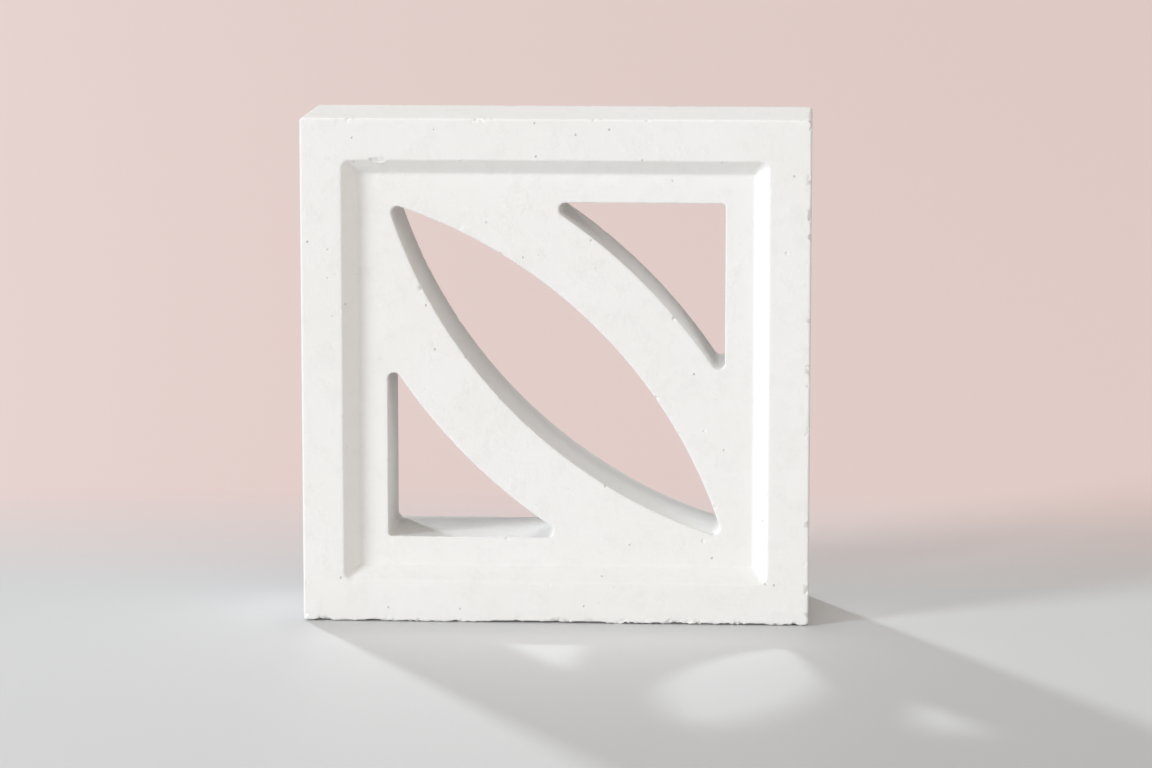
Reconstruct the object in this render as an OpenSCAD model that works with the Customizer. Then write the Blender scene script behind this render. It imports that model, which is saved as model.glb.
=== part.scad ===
// Square concrete screen block, pierced by a leaf opening on one diagonal and by a
// corner opening on each side of it, which leave two curved ribs beside the leaf.
// Both faces have the same bevelled recess around the pierced panel.
// The block stands on one edge, with the middle of its underside at the origin: its width
// is along X and its depth along Y, with the openings' narrow ends at the front (-Y).

/* [Block] */
// Width and height of the square face
block_size = 290; // [260:1:400]
// Depth from the front face to the back face
block_depth = 90; // [60:1:150]
// Radius of the four outer corners
corner_r = 2; // [2:0.5:12]
// Chamfer on the arrises around both faces
arris = 0.6; // [0.2:0.1:1.5]

/* [Recess] */
// Width of the flat land around the recess
land_w = 23.5; // [15:0.5:32]
// Width of the bevel between the land and the panel
bevel_w = 8.5; // [4:0.5:14]
// Depth of the panel below the land, on each face
recess_depth = 8.5; // [4:0.5:16]
// Radius of the bevel's corners at the land
recess_corner_r = 5; // [2:0.5:10]

/* [Openings] */
// Flat border between the bevel and the corner openings
border_w = 16.5; // [10:0.5:24]
// Width across the middle of the leaf opening
leaf_w = 68; // [45:1:85]
// How far the leaf's ends stay inside the lines of the corner openings' straight sides
leaf_inset = 2.5; // [0:0.5:8]
// Width of the curved rib on each side of the leaf
rib_w = 37.5; // [25:0.5:46]
// Radius of the openings' pointed ends
tip_r = 3.75; // [2:0.25:5]
// Radius of the corner openings' square corners
square_r = 2; // [1:0.25:5]
// Draft of the openings in degrees: they widen towards the back
draft = 0.8; // [0:0.1:3]

/* [Hidden] */
$fn = 180;

// Facets in a full turn of the blank's and the recess's small corner rounds
corner_fn = 32;
// How far a cutter runs past the surfaces that it cuts
past = 1;
// How far a round end stands proud of the sides it joins, so that it crosses them cleanly
proud = 0.05;

panel_depth = block_depth - 2 * recess_depth;
land_opening = block_size - 2 * land_w;
panel_size = land_opening - 2 * bevel_w;
window = panel_size - 2 * border_w;

// Height of an opening's cutter, and how far it has widened at its front and back ends
cut_depth = panel_depth + 2 * past;
grow_front = -past * tan(draft);
grow_back = (panel_depth + past) * tan(draft);
grow_middle = (grow_front + grow_back) / 2;

// Leaf: two equal arcs, joined by a round end at each tip. Its long axis is local X.
leaf_end = sqrt(2) * (window / 2 - leaf_inset - tip_r);
leaf_r = (pow(leaf_end, 2) + pow(leaf_w / 2, 2) - pow(tip_r, 2)) / (leaf_w - 2 * tip_r);
leaf_centre = leaf_r - leaf_w / 2;
leaf_spread = atan2(leaf_centre, leaf_end);

// Corner opening: the window's corner outside an arc that is concentric with the leaf's far side.
rib_r = leaf_r + rib_w;
rib_centre = leaf_centre / sqrt(2);
tip_side = window / 2 - tip_r;
tip_along = sqrt(pow(rib_r + tip_r, 2) - pow(tip_side + rib_centre, 2)) - rib_centre;
tip_angle = atan2(tip_side + rib_centre, tip_along + rib_centre);
square_end = window / 2 - square_r;

// Round ends: [x, y, radius, direction that the end points in, half the angle that it turns through]
leaf_ends = [
    [leaf_end, 0, tip_r, 0, leaf_spread],
    [-leaf_end, 0, tip_r, 180, leaf_spread]
];
corner_ends = [
    [tip_along, tip_side, tip_r, 135 + tip_angle / 2, 45 + tip_angle / 2],
    [tip_side, tip_along, tip_r, -45 - tip_angle / 2, 45 + tip_angle / 2],
    [square_end, square_end, square_r, 45, 45]
];

module rounded_square(side, r)
{
    offset(r = r, $fn = corner_fn) square(side - 2 * r, center = true);
}

// Cone with radius r where it meets the panel's front; it widens towards the back.
module drafted_round(r)
{
    cylinder(h = cut_depth, r1 = r + grow_back, r2 = r + grow_front, center = true);
}

// Cone with radius r at the panel's front; it narrows as the opening around it widens.
module drafted_core(r)
{
    cylinder(h = cut_depth, r1 = r - grow_back, r2 = r - grow_front, center = true);
}

// Square frustum with the given side at the panel's front; it widens towards the back.
module drafted_square(side)
{
    back = side + 2 * grow_back;
    front = side + 2 * grow_front;
    translate([0, 0, -cut_depth / 2])
        linear_extrude(height = cut_depth, scale = front / back) square(back, center = true);
}

// What lies beyond the lines where a round end joins its sides; it leans with the draft.
module end_trim(r, spread)
{
    lean = atan(tan(draft) * cos(spread));
    translate([(r + grow_middle) * cos(spread), 0, 0])
        rotate([0, -lean, 0])
            translate([0, -window / 2, -cut_depth])
                cube([window, window, 2 * cut_depth]);
}

// Cuts the sharp ends off an opening's outline and puts round ends in their place.
module with_round_ends(ends)
{
    difference()
    {
        children();
        for (end = ends)
            translate([end[0], end[1], 0])
                rotate(end[3])
                    end_trim(end[2], end[4]);
    }
    for (end = ends)
        translate([end[0], end[1], 0])
            drafted_round(end[2] + proud);
}

module leaf_cut()
{
    rotate(-45)
        with_round_ends(leaf_ends)
            intersection()
            {
                translate([0, leaf_centre, 0]) drafted_round(leaf_r);
                translate([0, -leaf_centre, 0]) drafted_round(leaf_r);
            }
}

module corner_cut()
{
    with_round_ends(corner_ends)
        difference()
        {
            drafted_square(window);
            translate([-rib_centre, -rib_centre, 0]) drafted_core(rib_r);
        }
}

// Recess of the front face: a bevel from the panel's square up to the rounded edge of the land.
module recess_cut()
{
    reach = 1 + past / recess_depth;
    translate([0, 0, panel_depth / 2])
        hull()
        {
            linear_extrude(height = past)
                square(panel_size, center = true);
            translate([0, 0, recess_depth + past])
                linear_extrude(height = past)
                    rounded_square(panel_size + 2 * reach * bevel_w, reach * recess_corner_r);
        }
}

module blank()
{
    hull()
    {
        linear_extrude(height = block_depth - 2 * arris, center = true)
            rounded_square(block_size, corner_r);
        linear_extrude(height = block_depth, center = true)
            rounded_square(block_size - 2 * arris, corner_r - arris);
    }
}

// Worked face up, as it lies in its mould, then stood on edge with the face to the front.
module screen_block()
{
    color([0.93, 0.92, 0.90])
        translate([0, 0, block_size / 2])
            rotate([90, 0, 0])
                difference()
                {
                    blank();
                    recess_cut();
                    mirror([0, 0, 1]) recess_cut();
                    leaf_cut();
                    corner_cut();
                    rotate(180) corner_cut();
                }
}

screen_block();
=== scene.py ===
"""Looks of a cast concrete screen block: its worn skin, its material, a floor, light and a camera."""

import math

import bpy
import numpy as np
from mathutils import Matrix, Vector, noise


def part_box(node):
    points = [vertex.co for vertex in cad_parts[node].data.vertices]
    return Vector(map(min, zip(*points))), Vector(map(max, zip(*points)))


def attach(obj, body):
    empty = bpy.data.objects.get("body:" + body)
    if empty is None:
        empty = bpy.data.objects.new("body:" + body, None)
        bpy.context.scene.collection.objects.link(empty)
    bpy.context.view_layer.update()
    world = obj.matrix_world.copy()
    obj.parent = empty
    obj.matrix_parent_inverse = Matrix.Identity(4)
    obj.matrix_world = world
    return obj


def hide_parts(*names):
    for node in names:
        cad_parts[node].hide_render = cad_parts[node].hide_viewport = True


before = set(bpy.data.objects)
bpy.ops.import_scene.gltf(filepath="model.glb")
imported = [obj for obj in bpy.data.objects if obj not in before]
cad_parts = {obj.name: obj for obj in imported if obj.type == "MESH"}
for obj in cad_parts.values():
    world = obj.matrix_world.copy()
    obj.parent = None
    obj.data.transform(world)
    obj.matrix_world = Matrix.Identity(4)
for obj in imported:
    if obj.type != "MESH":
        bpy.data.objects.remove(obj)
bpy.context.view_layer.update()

# Everything is in metres. The block's own box gives the places of its faces and edges.
BLOCK = "screen_block"
block_low, block_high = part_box(BLOCK)
middle = (block_low + block_high) / 2
# Columns of the arrays that hold points
X, Y, Z = range(3)

# Skin: spacing of its points while it is worn, and the most triangles that it keeps
SKIN_STEP = 0.0007
SKIN_TRIANGLES = 195000
# Weight of large faces in the skin's shading, where 50 is as much as small ones have and 100 is the most
LARGE_FACE_WEIGHT = 90

# Wear: lengths over which smoothing dulls the outer edges, softens the inner ones and breaks an edge
DULL = 0.00035
SOFT = 0.0005
BREAK = 0.0024
# Least movement of a point in a break that tells an edge from a flat, and the most on a flat
EDGE_MOVE = 0.0001
FLAT_MOVE = 0.000016
# Sizes of the large and the small breaks along an edge, and the small ones' share
BREAK_SIZE = 0.009
NICK_SIZE = 0.0026
NICK_SHARE = 0.6
# Roughness at which an edge starts to break, and at which it is broken
BREAK_RANGE = (0.32, 0.46)
# Grit in a break: size and height
GRIT_SIZE = 0.0015
GRIT_HEIGHT = 0.00025
# How readily an edge breaks: at the front, along the top, on the right, at the back and along the foot
FRONT_WEAR = -0.34
TOP_WEAR = -0.12
SIDE_WEAR = 0.0
BACK_WEAR = 0.06
FOOT_WEAR = 0.1
# How far the outer edges' own wear reaches in from the block's outer faces
ARRIS_REACH = 0.008

# Foot: how far its edges are lifted off the floor, and how far up and how far in that reaches
FOOT_LIFT = 0.0012
FOOT_RISE = 0.007
FOOT_REACH = 0.012
# Roughness at which the foot starts to lift, and at which it is lifted fully
FOOT_RANGE = (-0.75, 0.4)

# Air holes that the casting left in the flats: seed, number, radii, and depth as a share of the radius
HOLE_SEED = 11
HOLE_COUNT = 60
HOLE_RADII = (0.0006, 0.0011)
HOLE_DEPTH_SHARE = 0.8

# A flake lost from the edge of the front land: its middle, its reach along each axis, and its depth
FLAKE_PLACE = (-0.1005, block_low.y, block_high.z - 0.0236)
FLAKE_REACH = (0.0052, 0.0030, 0.0019)
FLAKE_DEPTH = 0.0011
# How far its outline wanders, as a share of its reach
FLAKE_RAGGED = 0.45

# Offsets that keep the noises apart
BREAK_NOISE = 3.1
NICK_NOISE = 7.7
GRIT_NOISE = 12.3
FOOT_NOISE = 21.9
FLAKE_NOISE = 33.4

# Concrete: the colours of its clouds and of its blotches, and the painted shade in its pores
PALE = (0.870, 0.865, 0.854, 1)
CREAMY = (0.852, 0.844, 0.826, 1)
BLOTCH_GREY = (0.790, 0.783, 0.768, 1)
PORE_SHADE_GREY = (0.46, 0.45, 0.43, 1)
# How much of their grey the blotches show at most, and how much painted shade the pores show at most
BLOTCH_SHARE = 0.35
PORE_SHADE_SHARE = 0.45
# Noise of the clouds, the blotches and the sand: scale in a metre, detail and roughness
CLOUDS = (16, 5, 0.6)
BLOTCHES = (95, 4, 0.6)
SAND = (1500, 3, 0.7)
# Values of these noises that count as none and as full
CLOUD_RANGE = (0.35, 0.7)
BLOTCH_RANGE = (0.5, 0.75)
SAND_RANGE = (0.2, 0.8)
# Pores: cells in a metre, with a pore in each, and how far its floor and its rim reach, in cells
PORES = 80
PORE_RANGE = (0.03, 0.06)
# Surface: its roughness between low and high sand, its specular level, and the heights of its relief
ROUGHNESS = (0.8, 0.95)
SPECULAR = 0.3
GRAIN_HEIGHT = 0.0002
GRAIN_STRENGTH = 0.5
DENT_HEIGHT = 0.0002
PIT_HEIGHT = 0.0004
# Places of a Mix node's colour sockets, which share their names with those for other kinds of data
MIX_SHARE, MIX_FIRST, MIX_SECOND = 0, 6, 7
MIX_RESULT = 2

# Floor: half its width, its two colours, how far back one turns into the other, and its roughness
FLOOR_REACH = 30.0
FLOOR_GREY = (0.65, 0.655, 0.66, 1)
FLOOR_BLUSH = (0.825, 0.655, 0.625, 1)
FLOOR_TURN = (0.06, 0.40)
FLOOR_ROUGHNESS = 0.6

# Soft light all round: its colour, the way to its brightest part, and its least and its full strength
SURROUND_COLOUR = (1, 0.94, 0.87, 1)
SURROUND_WAY = (0.447, -0.894, 0)
SURROUND_STRENGTH = (0.1, 1.05)
# Cosine of the angle to the brightest part where its strength starts to rise, and where it is full
SURROUND_RANGE = (0.1, 0.9)
# Distant lights: azimuth from the front, elevation and spread in degrees, strength, and colour
SUNS = {
    "key": (-58, 17, 19, 2.1, (0.965, 1.025, 1.085)),
    "back_light": (-152, 32, 4, 1.15, (0.95, 0.98, 1.02)),
    "top_light": (180, 86, 12, 0.92, (1, 0.97, 0.94)),
}

# Camera: lens and sensor width in millimetres, where it stands, and the point that it looks at
LENS = 135
SENSOR_WIDTH = 36
EYE = Vector((0.149, block_low.y - 2.427, 0.501))
AIM = Vector((0.012, block_low.y, middle.z - 0.006))


def applied(obj):
    """Puts obj's modifiers into its mesh."""
    graph = bpy.context.evaluated_depsgraph_get()
    shaped = bpy.data.meshes.new_from_object(obj.evaluated_get(graph))
    obj.modifiers.clear()
    obj.data = shaped


def array_of(items, name, kind, width):
    """The named property of mesh items as rows of numbers."""
    values = np.empty(len(items) * width, kind)
    items.foreach_get(name, values)
    return values.reshape(-1, width)


def rounds_for(length):
    """How many rounds of smoothing even out a shape over that length. One does so over half a step."""
    return round((2 * length / SKIN_STEP) ** 2)


def relaxed(points, edges, rounds):
    """The points after rounds of moving halfway to the middle of their neighbours."""
    first, second = edges.T
    count = np.bincount(edges.ravel(), minlength=len(points))
    for _ in range(rounds):
        total = np.empty_like(points)
        for axis in (X, Y, Z):
            along = points[:, axis]
            total[:, axis] = np.bincount(first, along[second], len(points))
            total[:, axis] += np.bincount(second, along[first], len(points))
        points = (points + total / count[:, None]) / 2
    return points


def smooth_step(low, high, values):
    """A smooth rise from 0 at low to 1 at high."""
    share = np.clip((values - low) / (high - low), 0, 1)
    return share * share * (3 - 2 * share)


def noise_at(points, size, offset):
    """Smooth noise of about that size at each point."""
    shift = Vector((offset, offset, offset))
    return np.array([noise.noise(Vector(p) / size + shift) for p in points])


def uneven(points):
    """Large and small unevenness together, as along an edge that breaks."""
    large = noise_at(points, BREAK_SIZE, BREAK_NOISE)
    small = noise_at(points, NICK_SIZE, NICK_NOISE)
    return large + NICK_SHARE * small


def depth_below(points, axes):
    """How far each point lies in from the nearest of the block's outer faces across the axes."""
    inward = np.array(block_high - middle) - np.abs(points - np.array(middle))
    return inward[:, axes].min(axis=1)


def readiness(points):
    """How readily an edge at each point breaks."""
    ready = np.full(len(points), FRONT_WEAR)
    ready[points[:, Z] > block_high.z - ARRIS_REACH] = TOP_WEAR
    ready[points[:, X] > block_high.x - ARRIS_REACH] = SIDE_WEAR
    ready[points[:, Y] > middle.y] = BACK_WEAR
    ready[points[:, Z] < block_low.z + ARRIS_REACH] = FOOT_WEAR
    return ready


def worn(points, edges, normals):
    """The points with dulled edges, which are broken in places, and which of them lie on flats."""
    dull = relaxed(points, edges, rounds_for(DULL))
    soft = relaxed(points, edges, rounds_for(SOFT))
    broken = relaxed(points, edges, rounds_for(BREAK))
    inward = np.einsum("ij,ij->i", dull - broken, normals)
    inside_land = depth_below(points, [X, Z]) > ARRIS_REACH
    shaped = np.where(inside_land[:, None], soft, dull)

    edge = np.flatnonzero(inward > EDGE_MOVE)
    share = smooth_step(*BREAK_RANGE, uneven(dull[edge]) + readiness(dull[edge]))
    grit = GRIT_HEIGHT * noise_at(dull[edge], GRIT_SIZE, GRIT_NOISE)
    hollow = broken[edge] + normals[edge] * grit[:, None]
    shaped[edge] += (hollow - shaped[edge]) * share[:, None]
    return shaped, np.abs(inward) < FLAT_MOVE


def with_uneven_foot(points):
    """The points with the foot's edges lifted off the floor, in some places more than in others."""
    height = points[:, Z] - block_low.z
    inward = depth_below(points, [X, Y])
    near = np.flatnonzero((height < FOOT_RISE) & (inward < FOOT_REACH))
    in_plan = points[near] * (1, 1, 0) + FOOT_NOISE
    fade = (1 - height[near] / FOOT_RISE) * (1 - inward[near] / FOOT_REACH)
    shaped = points.copy()
    shaped[near, Z] += FOOT_LIFT * fade * smooth_step(*FOOT_RANGE, uneven(in_plan))
    return shaped


def pressed(points, place, reach, push, ragged=0.0):
    """The points with a dent pushed in around place, out to reach along each axis, more or less ragged."""
    away = np.linalg.norm((points - np.array(place)) / np.array(reach), axis=1)
    near = np.flatnonzero(away < 1 + ragged)
    away = away[near] + ragged * noise_at(points[near], NICK_SIZE, FLAKE_NOISE)
    shaped = points.copy()
    shaped[near] += np.array(push) * np.clip(1 - away ** 2, 0, 1)[:, None]
    return shaped


def with_holes(points, normals, flat):
    """The points with small air holes pressed into the flats."""
    draw = np.random.default_rng(HOLE_SEED)
    low, high = HOLE_RADII
    for place in draw.choice(np.flatnonzero(flat), HOLE_COUNT, replace=False):
        radius = low + (high - low) * draw.random()
        push = -normals[place] * radius * HOLE_DEPTH_SHARE
        points = pressed(points, points[place], (radius, radius, radius), push)
    return points


def cast_block():
    """The block as a fine even skin over the CAD solid, then worn, then thinned where it is flat."""
    block = bpy.data.objects.new("screen_block_cast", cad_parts[BLOCK].data.copy())
    bpy.context.scene.collection.objects.link(block)
    even = block.modifiers.new("even", "REMESH")
    even.mode = "VOXEL"
    even.voxel_size = SKIN_STEP
    applied(block)

    mesh = block.data
    points = array_of(mesh.vertices, "co", np.float32, 3).astype(float)
    normals = array_of(mesh.vertices, "normal", np.float32, 3).astype(float)
    edges = array_of(mesh.edges, "vertices", np.int32, 2)
    points, flat = worn(points, edges, normals)
    points = with_holes(points, normals, flat)
    points = pressed(points, FLAKE_PLACE, FLAKE_REACH, (0, FLAKE_DEPTH, 0), FLAKE_RAGGED)
    points = with_uneven_foot(points)
    mesh.vertices.foreach_set("co", points.astype(np.float32).ravel())
    mesh.update()

    thin = block.modifiers.new("thin", "DECIMATE")
    thin.ratio = min(1, SKIN_TRIANGLES / (2 * len(mesh.polygons)))
    thin.use_collapse_triangulate = True
    applied(block)
    block.data.shade_smooth()
    facing = block.modifiers.new("facing", "WEIGHTED_NORMAL")
    facing.mode = "FACE_AREA"
    facing.weight = LARGE_FACE_WEIGHT
    applied(block)
    return block


def feed(tree, socket, value):
    """Links socket to value where that is a socket too, and otherwise sets it."""
    if isinstance(value, bpy.types.NodeSocket):
        tree.links.new(value, socket)
    else:
        socket.default_value = value


def new_node(tree, kind, **inputs):
    """A new shader node with its inputs fed by name."""
    node = tree.nodes.new("ShaderNode" + kind)
    for name, value in inputs.items():
        feed(tree, node.inputs[name.replace("_", " ")], value)
    return node


def noise_socket(tree, place, scale, detail, roughness):
    """Noise at place, from about 0 to 1."""
    node = new_node(tree, "TexNoise", Vector=place, Scale=scale, Detail=detail, Roughness=roughness)
    return node.outputs["Fac"]


def ranged(tree, value, span, to=(0, 1)):
    """The value carried over from one span of numbers to another, and kept inside that."""
    ends = {"From_Min": span[0], "From_Max": span[1], "To_Min": to[0], "To_Max": to[1]}
    return new_node(tree, "MapRange", Value=value, **ends).outputs["Result"]


def mixed(tree, share, first, second):
    """A colour that goes from first to second with share."""
    node = tree.nodes.new("ShaderNodeMix")
    node.data_type = "RGBA"
    feed(tree, node.inputs[MIX_SHARE], share)
    feed(tree, node.inputs[MIX_FIRST], first)
    feed(tree, node.inputs[MIX_SECOND], second)
    return node.outputs[MIX_RESULT]


def concrete():
    """White cement concrete: faint clouds, fine sand and scattered pin holes with painted shade in them,
    without gloss.
    """
    material = bpy.data.materials.new("white_concrete")
    material.use_nodes = True
    tree = material.node_tree
    shader = tree.nodes["Principled BSDF"]
    place = tree.nodes.new("ShaderNodeTexCoord").outputs["Object"]

    clouds = ranged(tree, noise_socket(tree, place, *CLOUDS), CLOUD_RANGE)
    blotches = ranged(tree, noise_socket(tree, place, *BLOTCHES), BLOTCH_RANGE)
    sand = noise_socket(tree, place, *SAND)
    pores = new_node(tree, "TexVoronoi", Vector=place, Scale=PORES).outputs["Distance"]

    colour = mixed(tree, clouds, PALE, CREAMY)
    colour = mixed(tree, ranged(tree, blotches, (0, 1), (0, BLOTCH_SHARE)), colour, BLOTCH_GREY)
    # Painted shade: each pore turns darker grey towards its middle, as a pin hole in shade
    colour = mixed(tree, ranged(tree, pores, PORE_RANGE, (PORE_SHADE_SHARE, 0)), colour, PORE_SHADE_GREY)
    feed(tree, shader.inputs["Base Color"], colour)
    feed(tree, shader.inputs["Roughness"], ranged(tree, sand, SAND_RANGE, ROUGHNESS))
    feed(tree, shader.inputs["Specular IOR Level"], SPECULAR)

    relief = new_node(tree, "Bump", Height=sand, Distance=GRAIN_HEIGHT, Strength=GRAIN_STRENGTH)
    for height, distance in ((blotches, DENT_HEIGHT), (ranged(tree, pores, PORE_RANGE), PIT_HEIGHT)):
        relief = new_node(tree, "Bump", Height=height, Distance=distance, Normal=relief.outputs["Normal"])
    feed(tree, shader.inputs["Normal"], relief.outputs["Normal"])
    return material


def floor_paint():
    """Matt paint: grey around the block, and blush further back."""
    material = bpy.data.materials.new("floor_paint")
    material.use_nodes = True
    tree = material.node_tree
    shader = tree.nodes["Principled BSDF"]
    place = tree.nodes.new("ShaderNodeTexCoord").outputs["Object"]
    back = new_node(tree, "SeparateXYZ", Vector=place).outputs["Y"]
    colour = mixed(tree, ranged(tree, back, FLOOR_TURN), FLOOR_GREY, FLOOR_BLUSH)
    feed(tree, shader.inputs["Base Color"], colour)
    feed(tree, shader.inputs["Roughness"], FLOOR_ROUGHNESS)
    return material


def floor():
    """A plain pale floor that reaches past the view."""
    reach = FLOOR_REACH
    mesh = bpy.data.meshes.new("floor")
    corners = [(-reach, -reach, 0), (reach, -reach, 0), (reach, reach, 0), (-reach, reach, 0)]
    mesh.from_pydata(corners, [], [(0, 1, 2, 3)])
    mesh.materials.append(floor_paint())
    plane = bpy.data.objects.new("floor", mesh)
    bpy.context.scene.collection.objects.link(plane)


def aimed(obj, place, way):
    """Puts obj in the scene at place, turned to look along way."""
    obj.location = place
    obj.rotation_mode = "QUATERNION"
    obj.rotation_quaternion = way.to_track_quat("-Z", "Y")
    bpy.context.scene.collection.objects.link(obj)


def sun(name, azimuth, elevation, spread, strength, colour):
    """A light from far away. Azimuth 0 is at the front and 90 on the right; spread is its angle."""
    lamp = bpy.data.lights.new(name, "SUN")
    lamp.angle = math.radians(spread)
    lamp.energy = strength
    lamp.color = colour
    turn, rise = math.radians(azimuth), math.radians(elevation)
    level = math.cos(rise)
    towards = Vector((math.sin(turn) * level, -math.cos(turn) * level, math.sin(rise)))
    aimed(bpy.data.objects.new(name, lamp), middle + towards, -towards)


def studio_light():
    """Soft light from the front right, a broad key from the left, and lights from behind and above."""
    world = bpy.data.worlds.new("studio")
    world.use_nodes = True
    tree = world.node_tree
    background = tree.nodes["Background"]
    way = tree.nodes.new("ShaderNodeTexCoord").outputs["Generated"]
    closeness = new_node(tree, "VectorMath", Vector=way)
    closeness.operation = "DOT_PRODUCT"
    closeness.inputs[1].default_value = SURROUND_WAY
    strength = ranged(tree, closeness.outputs["Value"], SURROUND_RANGE, SURROUND_STRENGTH)
    feed(tree, background.inputs["Strength"], strength)
    feed(tree, background.inputs["Color"], SURROUND_COLOUR)
    bpy.context.scene.world = world
    for name, values in SUNS.items():
        sun(name, *values)


def camera():
    """The photograph's viewpoint, seen through a lens that is long enough for one block."""
    data = bpy.data.cameras.new("camera")
    data.lens = LENS
    data.sensor_width = SENSOR_WIDTH
    eye = bpy.data.objects.new("camera", data)
    aimed(eye, EYE, AIM - EYE)
    bpy.context.scene.camera = eye


block = cast_block()
block.data.materials.clear()
block.data.materials.append(concrete())
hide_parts(BLOCK)
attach(block, "root")

floor()
studio_light()
camera()
bpy.context.scene.view_settings.view_transform = "Standard"
